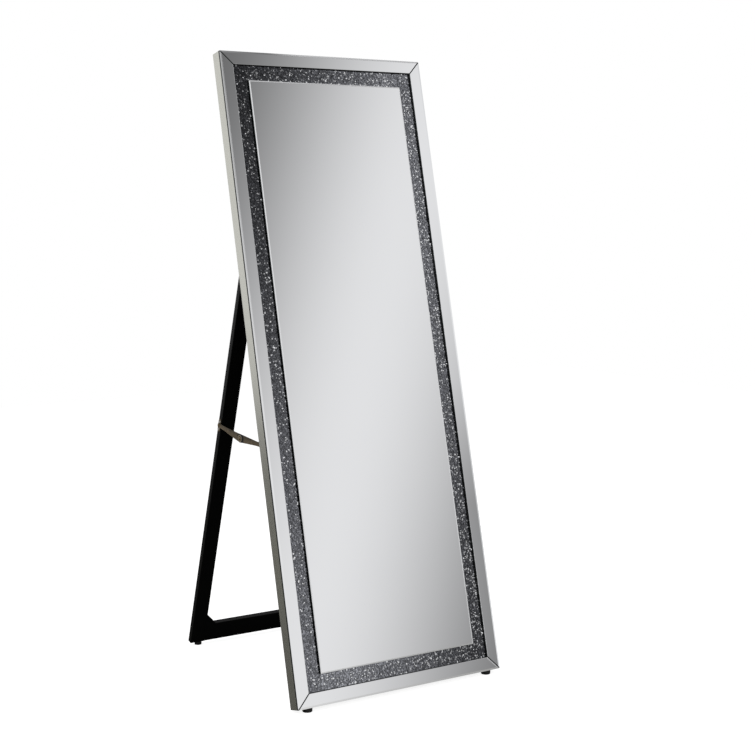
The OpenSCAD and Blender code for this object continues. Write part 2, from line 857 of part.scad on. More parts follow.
rail_left();
rail_right();
rail_top();
rail_bottom();
core_board();
back_board();
mirror_pad();
back_board_screws();
strip_left();
strip_right();
strip_top();
strip_bottom();
centre_mirror();
crystals_left();
crystals_right();
crystals_top();
crystals_bottom();
panel_foot_left();
panel_foot_right();
panel_leaf_left();
panel_leaf_right();
hinge_pin_left();
hinge_pin_right();
panel_leaf_screws();
panel_bracket_left();
panel_bracket_right();
panel_bracket_screws();
panel_rivets();
leg_left();
leg_right();
stand_rail_top();
stand_rail_bottom();
gusset_left();
gusset_right();
stand_dowels();
stand_foot_left();
stand_foot_right();
stand_leaf_left();
stand_leaf_right();
stand_leaf_screws();
leg_plate_left();
leg_plate_right();
leg_plate_screws();
leg_rivets();
rear_arm_left();
rear_arm_right();
front_arm_left();
front_arm_right();
rear_knuckle_rivet_left();
rear_knuckle_rivet_right();
front_knuckle_rivet_left();
front_knuckle_rivet_right();
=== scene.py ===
# %% [markdown]
# # A leaning floor mirror with a crystal border
# The solid pieces come ready made, in metres, each in its real place: rails, boards, glass, hinges, stays
# and the folding stand. This lesson gives them their finishes, lays the crushed crystal in the border
# and sets up the studio that the mirror reflects.

# %% Load the solid pieces
import math

import bmesh
import bpy
import numpy as np
from mathutils import Matrix, Vector


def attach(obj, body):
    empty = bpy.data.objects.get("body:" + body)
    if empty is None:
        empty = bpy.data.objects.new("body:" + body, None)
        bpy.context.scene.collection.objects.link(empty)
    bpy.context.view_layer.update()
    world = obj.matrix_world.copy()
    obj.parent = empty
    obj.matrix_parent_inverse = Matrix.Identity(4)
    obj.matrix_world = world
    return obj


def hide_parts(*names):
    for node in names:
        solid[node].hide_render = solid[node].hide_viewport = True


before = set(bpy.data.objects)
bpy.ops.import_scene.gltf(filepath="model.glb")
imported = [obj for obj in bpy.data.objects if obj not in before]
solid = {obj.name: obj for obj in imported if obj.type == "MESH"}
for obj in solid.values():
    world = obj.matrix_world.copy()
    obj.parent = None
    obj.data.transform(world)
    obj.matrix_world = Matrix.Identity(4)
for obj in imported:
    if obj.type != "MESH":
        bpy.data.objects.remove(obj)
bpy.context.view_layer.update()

# %% [markdown]
# The panel leans back, so most of its details are easier to place in the panel's own frame: X across from
# its middle, Y back from the face of the glass and Z up the slope from its lower edge. One matrix takes
# that frame to the room.

# %% The panel's own frame
MM = 0.001
PANEL_HALF, PANEL_HEIGHT = 300 * MM, 1600 * MM
STRIP, BORDER = 33 * MM, 40 * MM
PANEL_LEAN = math.radians(13.2)
LOWER_EDGE = Vector((0, -0.331745, 0.012))
panel_to_room = Matrix.Translation(LOWER_EDGE) @ Matrix.Rotation(-PANEL_LEAN, 4, "X")
room_to_panel = panel_to_room.inverted()
print("the panel leans", round(math.degrees(PANEL_LEAN), 1), "degrees")

# %% [markdown]
# ## Camera
# The view is from the left and from 1.2 m up, above the middle of the glass. It looks down a little, through
# a long lens. The small lens shift puts the mirror where it stands in the picture, without turning the
# camera any further.

# %% Camera
CAMERA_PLACE = (-2.12965, -3.36852, 1.20433)
CAMERA_DROP, CAMERA_TURN = 4.453, -33.483
LENS, SENSOR_WIDTH = 73.906, 36
LENS_SHIFT = 0.02003, -0.07610
SEES_UP_TO = 100

camera_data = bpy.data.cameras.new("camera")
camera_data.sensor_width = SENSOR_WIDTH
camera_data.lens = LENS
camera_data.shift_x, camera_data.shift_y = LENS_SHIFT
camera_data.clip_end = SEES_UP_TO
camera = bpy.data.objects.new("camera", camera_data)
camera.location = CAMERA_PLACE
camera.rotation_euler = (math.radians(90 - CAMERA_DROP), 0, math.radians(CAMERA_TURN))
bpy.context.scene.collection.objects.link(camera)
bpy.context.scene.camera = camera
bpy.context.scene.view_settings.view_transform = "Standard"
print("camera at", [round(v, 2) for v in camera.location])

# %% [markdown]
# ## A small language for shaders
# A shader's arithmetic reads best as sums. A Wire holds one output of a node, and adding, scaling or
# comparing wires adds the Math nodes. A comparison gives a mask of ones and noughts: masks multiplied keep
# what all of them hold, and at_least joins two. A Finish is a node tree under construction, with one method
# that makes every other kind of node.


# %% Wires that can be added and multiplied
class Wire:
    def __init__(self, finish, socket):
        self.finish, self.socket = finish, socket

    def maths(self, operation, *values):
        return self.finish.node("ShaderNodeMath", {"operation": operation}, dict(enumerate(values)))

    def __add__(self, other):
        return self.maths("ADD", self, other)

    def __sub__(self, other):
        return self.maths("SUBTRACT", self, other)

    def __rsub__(self, other):
        return self.maths("SUBTRACT", other, self)

    def __mul__(self, other):
        return self.maths("MULTIPLY", self, other)

    def __truediv__(self, other):
        return self.maths("DIVIDE", self, other)

    def __gt__(self, other):
        return self.maths("GREATER_THAN", self, other)

    def __lt__(self, other):
        return self.maths("LESS_THAN", self, other)

    def __abs__(self):
        return self.maths("ABSOLUTE", self)

    __radd__, __rmul__ = __add__, __mul__

    def at_least(self, low):
        return self.maths("MAXIMUM", self, low)

    def at_most(self, high):
        return self.maths("MINIMUM", self, high)

    def held(self):
        return self.at_least(0).at_most(1)

    def cosine(self):
        return self.maths("COSINE", self)

    def root(self):
        return self.maths("SQRT", self)

    def part(self, which):
        return self.finish.node("ShaderNodeSeparateXYZ", None, {0: self}, which)


# %% A finish and its nodes
class Finish:
    def __init__(self, tree):
        self.tree = tree
        tree.nodes.clear()

    def node(self, kind, settings=None, inputs=None, output=0):
        made = self.tree.nodes.new(kind)
        for key, value in (settings or {}).items():
            setattr(made, key, value)
        for key, value in (inputs or {}).items():
            if isinstance(value, Wire):
                self.tree.links.new(value.socket, made.inputs[key])
            else:
                made.inputs[key].default_value = value
        return Wire(self, made.outputs[output]) if made.outputs else made

    def colour_mix(self, share, first, second):
        return self.node("ShaderNodeMix", {"data_type": "RGBA"}, {0: share, 6: first, 7: second}, 2)

    def between(self, share, start, end):
        return share * (end - start) + start

    def noise(self, place, scale, detail, roughness=0.5):
        return self.node("ShaderNodeTexNoise", None,
                         {"Vector": place, "Scale": scale, "Detail": detail, "Roughness": roughness})

    def bump(self, height, distance, strength):
        return self.node("ShaderNodeBump", None,
                         {"Height": height, "Distance": distance, "Strength": strength})


# %% [markdown]
# Patterns on the panel follow the panel's own frame, so a Mapping node set to Texture undoes the lean.
# Its rotation also undoes the stand's slope, and lets the scratches on the metals run aslant. Its scale
# stretches a pattern along a piece. Every other pattern uses the room's frame.


# %% Coordinates and materials
def own_place(finish, lean=0.0, stretch=(1, 1, 1)):
    place = finish.node("ShaderNodeTexCoord", output="Object")
    return finish.node("ShaderNodeMapping", {"vector_type": "TEXTURE"},
                       {"Vector": place, "Location": LOWER_EDGE if lean else (0, 0, 0),
                        "Rotation": (lean, 0, 0), "Scale": stretch})


def panel_place(finish, stretch=(1, 1, 1)):
    return own_place(finish, -PANEL_LEAN, stretch)


def grey(value):
    return (value, value, value, 1)


BLACK, WHITE = grey(0), grey(1)


def material(name, build, **surface):
    made = bpy.data.materials.new(name)
    made.use_nodes = True
    finish = Finish(made.node_tree)
    sockets = {key.replace("_", " "): value for key, value in {**surface, **build(finish)}.items()}
    shader = finish.node("ShaderNodeBsdfPrincipled", None, sockets)
    finish.node("ShaderNodeOutputMaterial", None, {"Surface": shader})
    return made


def dress(made, *names):
    for name in names:
        for place in solid[name].material_slots:
            place.material = made
    print(made.name, "on", len(names), "pieces")


# %% [markdown]
# ## Studio
# A mirror shows what is around it, so the studio matters as much as the glass. The camera sees plain
# white. What shines sees a pale room whose brightness swells and fades in soft bands along one slanting
# direction, which gives the glass its slow change between grey and white. Diffuse light is even and weak.


# %% The rays of the camera and of what shines
def ray_kinds(finish):
    seen = finish.node("ShaderNodeLightPath", output="Is Camera Ray")
    glossy = finish.node("ShaderNodeLightPath", output="Is Glossy Ray")
    through = finish.node("ShaderNodeLightPath", output="Is Transmission Ray")
    return seen, (glossy + through).at_most(1)


# %% The room that the mirror sees
BAND_AXIS = (-0.92017, -0.15365, 0.36011)
BAND_PACE, BAND_START = 21.518, -0.28758
BAND_DARK, BAND_LIGHT = 0.163, 0.815
AMBIENT = 0.28

world = bpy.data.worlds.new("studio")
bpy.context.scene.world = world
world.use_nodes = True
room = Finish(world.node_tree)
way = room.node("ShaderNodeTexCoord", output="Generated")
along = room.node("ShaderNodeVectorMath", {"operation": "DOT_PRODUCT"}, {0: way, 1: BAND_AXIS}, "Value")
turn = ((along - BAND_START) * BAND_PACE).at_most(2 * math.pi).at_least(-2 * math.pi)
band = turn.cosine() * ((BAND_LIGHT - BAND_DARK) / 2) + (BAND_LIGHT + BAND_DARK) / 2
seen, shone = ray_kinds(room)
strength = seen + (1 - seen) * (shone * band + (1 - shone) * AMBIENT)
sky = room.node("ShaderNodeBackground", None, {"Color": WHITE, "Strength": strength})
room.node("ShaderNodeOutputWorld", None, {"Surface": sky})
print("the room runs from", BAND_DARK, "to", BAND_LIGHT)

# %% [markdown]
# The floor is a plain white sheet that takes the mirror's shadow. For the camera, a glow keeps it as white
# as the backdrop. The light that it throws back on the mirror is dim and faintly warm, least of all from
# close by, so that the lower part of the panel's side stays in shade. What shines sees it bright in front of
# the panel, fading towards the right, and nearly dark behind, but paler again far out.

# %% Floor
FLOOR_REACH = 5.2

floor_shape = bmesh.new()
bmesh.ops.create_grid(floor_shape, x_segments=1, y_segments=1, size=FLOOR_REACH)
floor_mesh = bpy.data.meshes.new("floor")
floor_shape.to_mesh(floor_mesh)
floor_shape.free()
floor = bpy.data.objects.new("floor", floor_mesh)
bpy.context.scene.collection.objects.link(floor)
print("the floor reaches", FLOOR_REACH, "metres each way")

# %% White sheet
FLOOR_WHITE, FLOOR_GLOW = 0.60, 0.86
BOUNCE_NEAR, BOUNCE_FAR, BOUNCE_REACH = (0.085, 0.083, 0.074, 1), (0.215, 0.21, 0.185, 1), 1.6
FRONT_LINE, FRONT_BLEND = -0.325, 0.03
FRONT_SHINE, FRONT_FADE = 0.78, 0.45
BACK_SHINE, FAR_SHINE, FAR_FROM = 0.03, 0.36, 2.0


def floor_sheet(finish):
    seen, shone = ray_kinds(finish)
    spot = finish.node("ShaderNodeTexCoord", output="Object")
    away = finish.node("ShaderNodeVectorMath", {"operation": "LENGTH"}, {0: spot}, "Value")
    bounce = finish.colour_mix((away / BOUNCE_REACH).at_most(1), BOUNCE_NEAR, BOUNCE_FAR)
    far = ((away - FAR_FROM) / (FLOOR_REACH - FAR_FROM)).at_least(0)
    back_shine = far * far * FAR_SHINE + BACK_SHINE
    to_right = (spot.part("X") / (2 * PANEL_HALF) + 0.5).held()
    front_shine = FRONT_SHINE - to_right * FRONT_FADE
    in_front = ((FRONT_LINE - spot.part("Y")) / FRONT_BLEND).held()
    glow = seen + shone * finish.between(in_front, back_shine, front_shine)
    return {
        "Base_Color": finish.colour_mix(seen, bounce, grey(FLOOR_WHITE)),
        "Emission_Color": finish.colour_mix(glow, BLACK, WHITE),
    }


floor_white = material("floor_white", floor_sheet, Specular_IOR_Level=0.0, Emission_Strength=FLOOR_GLOW)
floor_mesh.materials.append(floor_white)
print(floor_white.name, "on the floor")

# %% [markdown]
# Three large soft lamps: a key high on the left, nearer to the top of the panel than to its foot, so that the
# side fades towards the floor; a weaker one at the right and behind; and a fill from the front, far enough
# away to be even. None of them shows in what shines, so the glass mirrors only the room and the floor.


# %% Lamps
def lamp(name, place, aim, size, power):
    light = bpy.data.lights.new(name, "AREA")
    light.shape, light.size, light.energy = "DISK", size, power
    holder = bpy.data.objects.new(name, light)
    holder.matrix_world = Matrix.Translation(place) @ (
        (Vector(aim) - Vector(place)).to_track_quat("-Z", "Y").to_matrix().to_4x4())
    holder.visible_glossy = False
    bpy.context.scene.collection.objects.link(holder)
    return holder


lamps = [
    lamp("key", place=(-1.7, -0.4, 2.7), aim=(-0.3, 0.0, 1.2), size=0.9, power=30),
    lamp("back_right", place=(2.2, 1.5, 2.2), aim=(0, 0.1, 0.7), size=1.2, power=20),
    lamp("front_fill", place=(0.5, -3.5, 2.0), aim=(0, -0.1, 0.8), size=1.2, power=30),
]
print(len(lamps), "lamps")

# %% [markdown]
# ## Champagne lacquer
# The rails are wood wrapped in a metallic champagne lacquer: a warm silver whose fine streaks run along each
# rail. Noise stretched along the rail gives the streaks, a finer noise the sparkle. The walls of the recessed
# border are black. So is a band along the front of each rail under the glass strips, partly the bed of glue
# there and partly painted shade of the gap under the glass, which shows as a dark line at the mitres and
# round the outside. Both are told apart by their place in the panel's frame.

# %% Lacquer on the rails
CHAMPAGNE_DARK, CHAMPAGNE_PALE = (0.60, 0.60, 0.545, 1), (0.73, 0.73, 0.675, 1)
STREAK_WIDTH, STREAK_LENGTH = 0.02, 2.0
STREAK_SHARE, SPARKLE_SHARE, CLOUD_SHARE = 0.55, 0.25, 0.20
BLACK_WALL, WALL_DULL = grey(0.004), 0.4
WALL_MARGIN, GLUE_AND_GAP_SHADE_DEPTH = 0.3 * MM, 6.6 * MM


def lacquer(name, stretch):
    def build(finish):
        place = panel_place(finish)
        side, deep, up = abs(place.part("X")), place.part("Y"), place.part("Z")
        streaks = finish.noise(panel_place(finish, stretch), scale=9.0, detail=5.0, roughness=0.65)
        sparkle = finish.noise(place, scale=1800.0, detail=1.0)
        clouds = finish.noise(place, scale=6.0, detail=2.0)
        pattern = streaks * STREAK_SHARE + sparkle * SPARKLE_SHARE + clouds * CLOUD_SHARE
        tone = finish.between(pattern, start=-0.25, end=1.25)
        in_border = (side < PANEL_HALF - STRIP + WALL_MARGIN) * (up > STRIP - WALL_MARGIN)
        in_border = in_border * (up < PANEL_HEIGHT - STRIP + WALL_MARGIN)
        # black covers the border's walls and a band at the rail's front: glue there, and painted shade of the
        # gap under the glass
        black = in_border.at_least(deep < GLUE_AND_GAP_SHADE_DEPTH)
        silver = finish.colour_mix(tone, CHAMPAGNE_DARK, CHAMPAGNE_PALE)
        return {
            "Base_Color": finish.colour_mix(black, silver, BLACK_WALL),
            "Metallic": finish.between(black, start=0.9, end=0.0),
            "Roughness": finish.between(streaks, start=0.20, end=0.32) + black * WALL_DULL,
            "Normal": finish.bump(streaks + sparkle * 0.3, distance=0.04 * MM, strength=0.6),
        }
    return material(name, build, IOR=1.45)


dress(lacquer("champagne_upright", (STREAK_WIDTH, STREAK_WIDTH, STREAK_LENGTH)), "rail_left", "rail_right")
dress(lacquer("champagne_level", (STREAK_LENGTH, STREAK_WIDTH, STREAK_WIDTH)), "rail_top", "rail_bottom")

# %% [markdown]
# ## Mirror glass
# Each sheet is silvered on the back, so it acts as one sharp metal surface with a faint blue cast. A very
# slow unevenness keeps the glass alive. The front of the glass is at zero in the panel's frame, so depth
# tells the face, the bevel and the ground edge apart: the edge isn't silvered and looks dark, and the bevel
# of the centre mirror is a little rough, which spreads the room's bands into one even tone.

# %% The centre mirror
BEVEL_FROM, GROUND_FROM = 0.05 * MM, 0.85 * MM
SILVER_DARK, SILVER_PALE = (0.905, 0.912, 0.930, 1), (0.925, 0.930, 0.945, 1)
GROUND_GLASS = (0.020, 0.028, 0.025, 1)
GROUND_ROUGH, FILM_ROUGH, DULL_ROUGH = 0.25, 0.02, 0.34


def glass_depths(place):
    deep = place.part("Y")
    ground = deep > GROUND_FROM
    return deep, (deep > BEVEL_FROM) * (1 - ground), ground


def silver_film(finish, place):
    film = finish.noise(place, scale=5.0, detail=4.0, roughness=0.6)
    return film, finish.colour_mix(film, SILVER_DARK, SILVER_PALE)


def glass(finish, film, silver, ground, dull):
    return {
        "Base_Color": finish.colour_mix(ground, silver, GROUND_GLASS),
        "Metallic": 1 - ground,
        "Roughness": ground * GROUND_ROUGH + film * FILM_ROUGH + dull * DULL_ROUGH,
    }


def centre_glass(finish):
    place = panel_place(finish)
    deep, bevel, ground = glass_depths(place)
    film, silver = silver_film(finish, place)
    return glass(finish, film, silver, ground, bevel)


dress(material("mirror_centre", centre_glass), "centre_mirror")

# %% [markdown]
# The four strips meet on the corners' diagonals, where their ends are ground as well. They are more worn than
# the centre sheet. The outer bevel on the left carries painted shade that deepens with height, most of all
# along its inner edge, and it turns duller too. The one along the top is dull except towards the left corner.
# A rubbed line runs beside the lower right mitre, and the right strip is a little darker, most of all 420 mm
# up.

# %% The strips
MITRE_HALF, RUBBED_TO, LOW_CORNER = 2.1 * MM, 6.0 * MM, 50 * MM
LEFT_BEVEL, TOP_BEVEL = 4.4 * MM - PANEL_HALF, PANEL_HEIGHT - 5 * MM
LEFT_BEVEL_SHADE_FROM, INNER_EDGE = 600 * MM, 0.5 * MM
TOP_DULL_FROM, TOP_DULL_BLEND = -190 * MM, 120 * MM
RIGHT_DARKEST_UP, RIGHT_DARKENING_REACH, RIGHT_STRIP = 420 * MM, 320 * MM, 260 * MM
BEVEL_SHADE_GREY, BEVEL_SHADE_SHARE, INNER_SHADE_SHARE, RIGHT_DARKENING_SHARE = grey(0.3), 0.5, 0.8, 0.27


def strip_glass(finish):
    place = panel_place(finish)
    across, up = place.part("X"), place.part("Z")
    deep, bevel, edge = glass_depths(place)
    from_side = PANEL_HALF - abs(across)
    from_end = PANEL_HEIGHT / 2 - abs(up - PANEL_HEIGHT / 2)
    off_mitre = from_side - from_end
    ground = edge.at_least(abs(off_mitre) < MITRE_HALF)
    low_right = (up < LOW_CORNER) * (across > 0)
    rubbed = (off_mitre > MITRE_HALF) * (off_mitre < RUBBED_TO) * low_right * (1 - ground)
    # painted shade on the left bevel, deeper with height and darkest along its inner edge; the same mask
    # makes it duller
    left_bevel_shade_and_dull = bevel * (across < LEFT_BEVEL) * (up - LEFT_BEVEL_SHADE_FROM).at_least(0)
    top_dull = bevel * (up > TOP_BEVEL) * ((across - TOP_DULL_FROM) / TOP_DULL_BLEND).held()
    inner = (1 - deep / INNER_EDGE).at_least(0)
    # the right strip is made a little darker, most of all 420 mm up
    right_darkening = (1 - abs(up - RIGHT_DARKEST_UP) / RIGHT_DARKENING_REACH).at_least(0) * (across > RIGHT_STRIP)
    film, silver = silver_film(finish, place)
    silver = finish.colour_mix(left_bevel_shade_and_dull * BEVEL_SHADE_SHARE, silver, BEVEL_SHADE_GREY)
    silver = finish.colour_mix(left_bevel_shade_and_dull * inner * INNER_SHADE_SHARE, silver, BLACK)
    silver = finish.colour_mix(right_darkening * RIGHT_DARKENING_SHARE, silver, BLACK)
    return glass(finish, film, silver, ground, left_bevel_shade_and_dull.at_least(rubbed).at_least(top_dull))


dress(material("mirror_strip", strip_glass), "strip_left", "strip_right", "strip_top", "strip_bottom")

# %% [markdown]
# ## Black boards
# The core and back boards are dense fibreboard with a matt black foil, and the pad under the centre mirror
# shows only as a black edge, so it wears the same. A short-grained noise gives the foil its leather-like
# tooth.


# %% Boards and pad
def foil(finish):
    place = panel_place(finish)
    tooth = finish.noise(place, scale=900.0, detail=2.0)
    scuff = finish.noise(place, scale=14.0, detail=5.0, roughness=0.7)
    return {
        "Base_Color": finish.colour_mix(scuff, grey(0.006), grey(0.016)),
        "Roughness": finish.between(scuff, start=0.45, end=0.68),
        "Normal": finish.bump(tooth, distance=0.1 * MM, strength=0.5),
    }


dress(material("black_foil", foil), "core_board", "back_board", "mirror_pad")

# %% [markdown]
# ## Stand paint
# The stand is solid wood under black satin paint. The grain still telegraphs through the paint as long
# shallow lines, so a noise stretched along each member feeds the bump and the sheen.

# %% Satin black over wood
STAND_LEAN = math.radians(16.45)
GRAIN_WIDTH = 0.03
GRAIN_SHARE, HANDLED_SHARE = 0.6, 0.4


def satin(name, stretch):
    def build(finish):
        grain = finish.noise(own_place(finish, STAND_LEAN, stretch), scale=14.0, detail=6.0, roughness=0.6)
        handled = finish.noise(own_place(finish, STAND_LEAN), scale=8.0, detail=3.0)
        return {
            "Base_Color": finish.colour_mix(handled, grey(0.003), grey(0.006)),
            "Roughness": finish.between(grain * GRAIN_SHARE + handled * HANDLED_SHARE, start=0.26, end=0.50),
            "Normal": finish.bump(grain, distance=0.15 * MM, strength=0.6),
        }
    return material(name, build, Specular_IOR_Level=0.10)


dress(satin("satin_upright", (GRAIN_WIDTH, GRAIN_WIDTH, 1.0)), "leg_left", "leg_right")
dress(satin("satin_level", (1.0, GRAIN_WIDTH, GRAIN_WIDTH)),
      "stand_rail_top", "stand_rail_bottom", "gusset_left", "gusset_right")

# %% [markdown]
# ## Feet
# Moulded black rubber glides: matt, very slightly mottled, a touch dusty.


# %% Rubber
def rubber(finish):
    mottle = finish.noise(own_place(finish), scale=160.0, detail=4.0, roughness=0.6)
    return {
        "Base_Color": finish.colour_mix(mottle, grey(0.006), grey(0.02)),
        "Roughness": finish.between(mottle, start=0.6, end=0.85),
        "Normal": finish.bump(mottle, distance=0.2 * MM, strength=0.4),
    }


dress(material("rubber", rubber),
      "panel_foot_left", "panel_foot_right", "stand_foot_left", "stand_foot_right")

# %% [markdown]
# ## Painted light and shade on the stays
# The arms of the stays carry painted shade above their middle line, which rises or falls a little along each
# arm, and a painted shadow of the lap around the knuckle. On the arm that lies over the other, a painted
# highlight rings the rivet. All of it is placed from the middle of the knuckle, seen from the side.

# %% Painted shade and highlight on the arms
KNUCKLE_BACK, KNUCKLE_UP = 0.6 * MM, 609.0 * MM
SHADE_BLEND = 5 * MM
RIM_FROM, RIM_TO = 7.2 * MM, 9.5 * MM
HIGHLIGHT_BRASS = (0.56, 0.49, 0.38, 1)
SHADE_BLACK, SHADE_SHARE = grey(0.01), 0.45
LAP_SHADOW_BLACK, LAP_SHADOW_SHARE, LAP_SHADOW_BLEND = grey(0.004), 0.97, 0.43


def arm_light_and_shade(finish, place, colour, reach, rim, rise):
    back, up = place.part("Y") - KNUCKLE_BACK, place.part("Z") - KNUCKLE_UP
    away = (back * back + up * up).root()
    above = ((up - back * rise) / SHADE_BLEND).held()
    on_rim = (away > RIM_FROM) * (away < RIM_TO)
    lap_shadow = ((reach - away) / (reach * LAP_SHADOW_BLEND)).held() * (away > RIM_TO)
    # painted shade above the middle line, a painted highlight on the rim and a painted shadow of the lap
    # around the knuckle
    colour = finish.colour_mix(above * SHADE_SHARE, colour, SHADE_BLACK)
    colour = finish.colour_mix(on_rim * rim, colour, HIGHLIGHT_BRASS)
    return finish.colour_mix(lap_shadow * LAP_SHADOW_SHARE, colour, LAP_SHADOW_BLACK)


# %% [markdown]
# ## Hinges, stays and screws
# Dull nickel on the hinges and plain steel for their pins, aged brass on the stays and bright zinc on the
# screws. One recipe makes them all: a blotchy noise darkens the metal and roughens it in the same places,
# and long fine scratches cross it.

# %% Metals
SCRATCH_LEAN, SCRATCH_STRETCH = 0.4, (1.0, 0.03, 0.03)
BLOTCH_SHARE, SCRATCH_SHARE = 0.75, 0.25


def plated(name, dull, bright, rough, smooth, blotches, painted_arm_light=None):
    def build(finish):
        place = own_place(finish)
        blotch = finish.noise(place, scale=blotches, detail=5.0, roughness=0.62)
        scratch = finish.noise(own_place(finish, SCRATCH_LEAN, SCRATCH_STRETCH), scale=30.0, detail=2.0)
        share = finish.between(blotch * BLOTCH_SHARE + scratch * SCRATCH_SHARE, start=-0.6, end=1.6).held()
        colour = finish.colour_mix(share, dull, bright)
        return {
            "Base_Color": arm_light_and_shade(finish, place, colour, **painted_arm_light) if painted_arm_light else colour,
            "Roughness": finish.between(share, start=rough, end=smooth),
            "Normal": finish.bump(scratch + blotch * 0.5, distance=0.03 * MM, strength=0.5),
        }
    return material(name, build, Metallic=1.0)


AGED = {"dull": (0.085, 0.063, 0.037, 1), "bright": (0.29, 0.22, 0.133, 1),
        "rough": 0.5, "smooth": 0.3, "blotches": 90.0}
nickel = plated("dull_nickel", dull=(0.34, 0.33, 0.31, 1), bright=(0.55, 0.54, 0.51, 1),
                rough=0.5, smooth=0.28, blotches=60.0)
brass = plated("aged_brass", **AGED)
brass_under = plated("aged_brass_under", **AGED, painted_arm_light={"reach": 17.0 * MM, "rim": 0.0, "rise": 0.104})
brass_over = plated("aged_brass_over", **AGED, painted_arm_light={"reach": 28.0 * MM, "rim": 0.75, "rise": -0.01})
zinc = plated("bright_zinc", dull=(0.45, 0.45, 0.43, 1), bright=(0.70, 0.70, 0.69, 1),
              rough=0.42, smooth=0.22, blotches=120.0)
steel = plated("pin_steel", dull=grey(0.33), bright=grey(0.52), rough=0.4, smooth=0.25, blotches=140.0)

# %% Metals on their pieces
dress(nickel, "panel_leaf_left", "panel_leaf_right", "stand_leaf_left", "stand_leaf_right")
dress(steel, "hinge_pin_left", "hinge_pin_right")
dress(brass_under, "rear_arm_left", "rear_arm_right")
dress(brass_over, "front_arm_left", "front_arm_right")
dress(brass, "rear_knuckle_rivet_left", "rear_knuckle_rivet_right",
      "front_knuckle_rivet_left", "front_knuckle_rivet_right",
      "leg_plate_left", "leg_plate_right", "leg_rivets",
      "panel_bracket_left", "panel_bracket_right", "panel_rivets")
dress(zinc, "back_board_screws", "panel_leaf_screws", "stand_leaf_screws",
      "panel_bracket_screws", "leg_plate_screws")

# %% [markdown]
# ## Dowels
# Beech, pale and straight grained. They sit inside the joints of the stand and don't show, but a real
# one has a grain, so this one does too.


# %% Beech
def beech(finish):
    grain = finish.noise(own_place(finish, stretch=(1.0, 0.04, 0.04)), scale=30.0, detail=5.0)
    return {
        "Base_Color": finish.colour_mix(grain, (0.48, 0.31, 0.17, 1), (0.66, 0.47, 0.29, 1)),
        "Roughness": finish.between(grain, start=0.5, end=0.7),
        "Normal": finish.bump(grain, distance=0.1 * MM, strength=0.5),
    }


dress(material("beech", beech), "stand_dowels")

# %% [markdown]
# ## Crushed crystal
# The border is filled with crushed mirror glass: flakes a few millimetres across, poured over black glue.
# Most of them settle nearly flat, so the bed as a whole still mirrors the room, broken up into grains, and
# the few that stand askew mirror another part of it, and sparkle. A flake is a thin block cut by a few
# slanting planes. Eight flakes are repeated by an Array modifier, then every copy is turned, sized and
# moved.

# %% Eight broken flakes
chance = np.random.default_rng(11)
FLAKE_KINDS, FLAKE_THICKNESS = 8, 0.08
CUTS, CUT_TURN, CUT_SLANT, CUT_REACH = 5, (0.8, 1.7), 0.35, (0.45, 0.8)
WELD = 0.0001


def broken_flake():
    flake = bmesh.new()
    bmesh.ops.create_cube(flake, size=2)
    bmesh.ops.scale(flake, vec=(1, FLAKE_THICKNESS, 1), verts=flake.verts[:])
    around = chance.uniform(0, 2 * math.pi)
    for _ in range(CUTS):
        around += chance.uniform(*CUT_TURN)
        slant = chance.uniform(-CUT_SLANT, CUT_SLANT)
        outward = Vector((math.cos(around), slant, math.sin(around))).normalized()
        bmesh.ops.bisect_plane(
            flake, geom=flake.verts[:] + flake.edges[:] + flake.faces[:], dist=WELD,
            plane_co=outward * chance.uniform(*CUT_REACH), plane_no=outward, clear_outer=True)
        bmesh.ops.holes_fill(flake, edges=flake.edges[:], sides=0)
    bmesh.ops.recalc_face_normals(flake, faces=flake.faces[:])
    reach = max(math.hypot(v.co.x, v.co.z) for v in flake.verts)
    bmesh.ops.scale(flake, vec=(1 / reach, 1, 1 / reach), verts=flake.verts[:])
    return flake


flakes = [broken_flake() for _ in range(FLAKE_KINDS)]
print("faces on each flake:", [len(flake.faces) for flake in flakes])

# %% [markdown]
# Each copy is spun about the panel's normal and tilted about an axis in its plane. Rodrigues' formula
# turns all the copies at once.


# %% Turn many copies
def turns(axes, angles):
    x, y, z = axes.T
    none = np.zeros_like(x)
    cross = np.array([[none, -z, y], [z, none, -x], [-y, x, none]]).transpose(2, 0, 1)
    cos, sin = np.cos(angles)[:, None, None], np.sin(angles)[:, None, None]
    return np.eye(3) * cos + (1 - cos) * axes[:, :, None] * axes[:, None, :] + sin * cross


def many_flakes(flake, centres, radii, tilts):
    count = len(centres)
    mesh = bpy.data.meshes.new("flakes")
    flake.to_mesh(mesh)
    holder = bpy.data.objects.new("flakes", mesh)
    bpy.context.scene.collection.objects.link(holder)
    repeat = holder.modifiers.new("repeat", "ARRAY")
    repeat.count, repeat.use_relative_offset = count, False
    done = bpy.data.meshes.new_from_object(holder.evaluated_get(bpy.context.evaluated_depsgraph_get()))
    bpy.data.objects.remove(holder)
    points = np.zeros(len(done.vertices) * 3)
    done.vertices.foreach_get("co", points)
    points = points.reshape(count, -1, 3)
    toward = chance.uniform(0, 2 * math.pi, count)
    lying = np.stack([np.cos(toward), np.zeros(count), np.sin(toward)], 1)
    normal = np.tile([0.0, 1.0, 0.0], (count, 1))
    both = turns(lying, tilts) @ turns(normal, chance.uniform(0, 2 * math.pi, count))
    points = np.einsum("nij,nkj->nki", both, points) * radii[:, None, None] + centres[:, None, :]
    done.vertices.foreach_set("co", points.ravel())
    return done


# %% [markdown]
# Each bed is laid out in the panel's frame on a jittered grid, within the corners of the solid bed that it
# replaces. A flake may lie on the glue or a little higher, but never above the top of the solid bed. The
# share that stands askew isn't the same on the four sides.

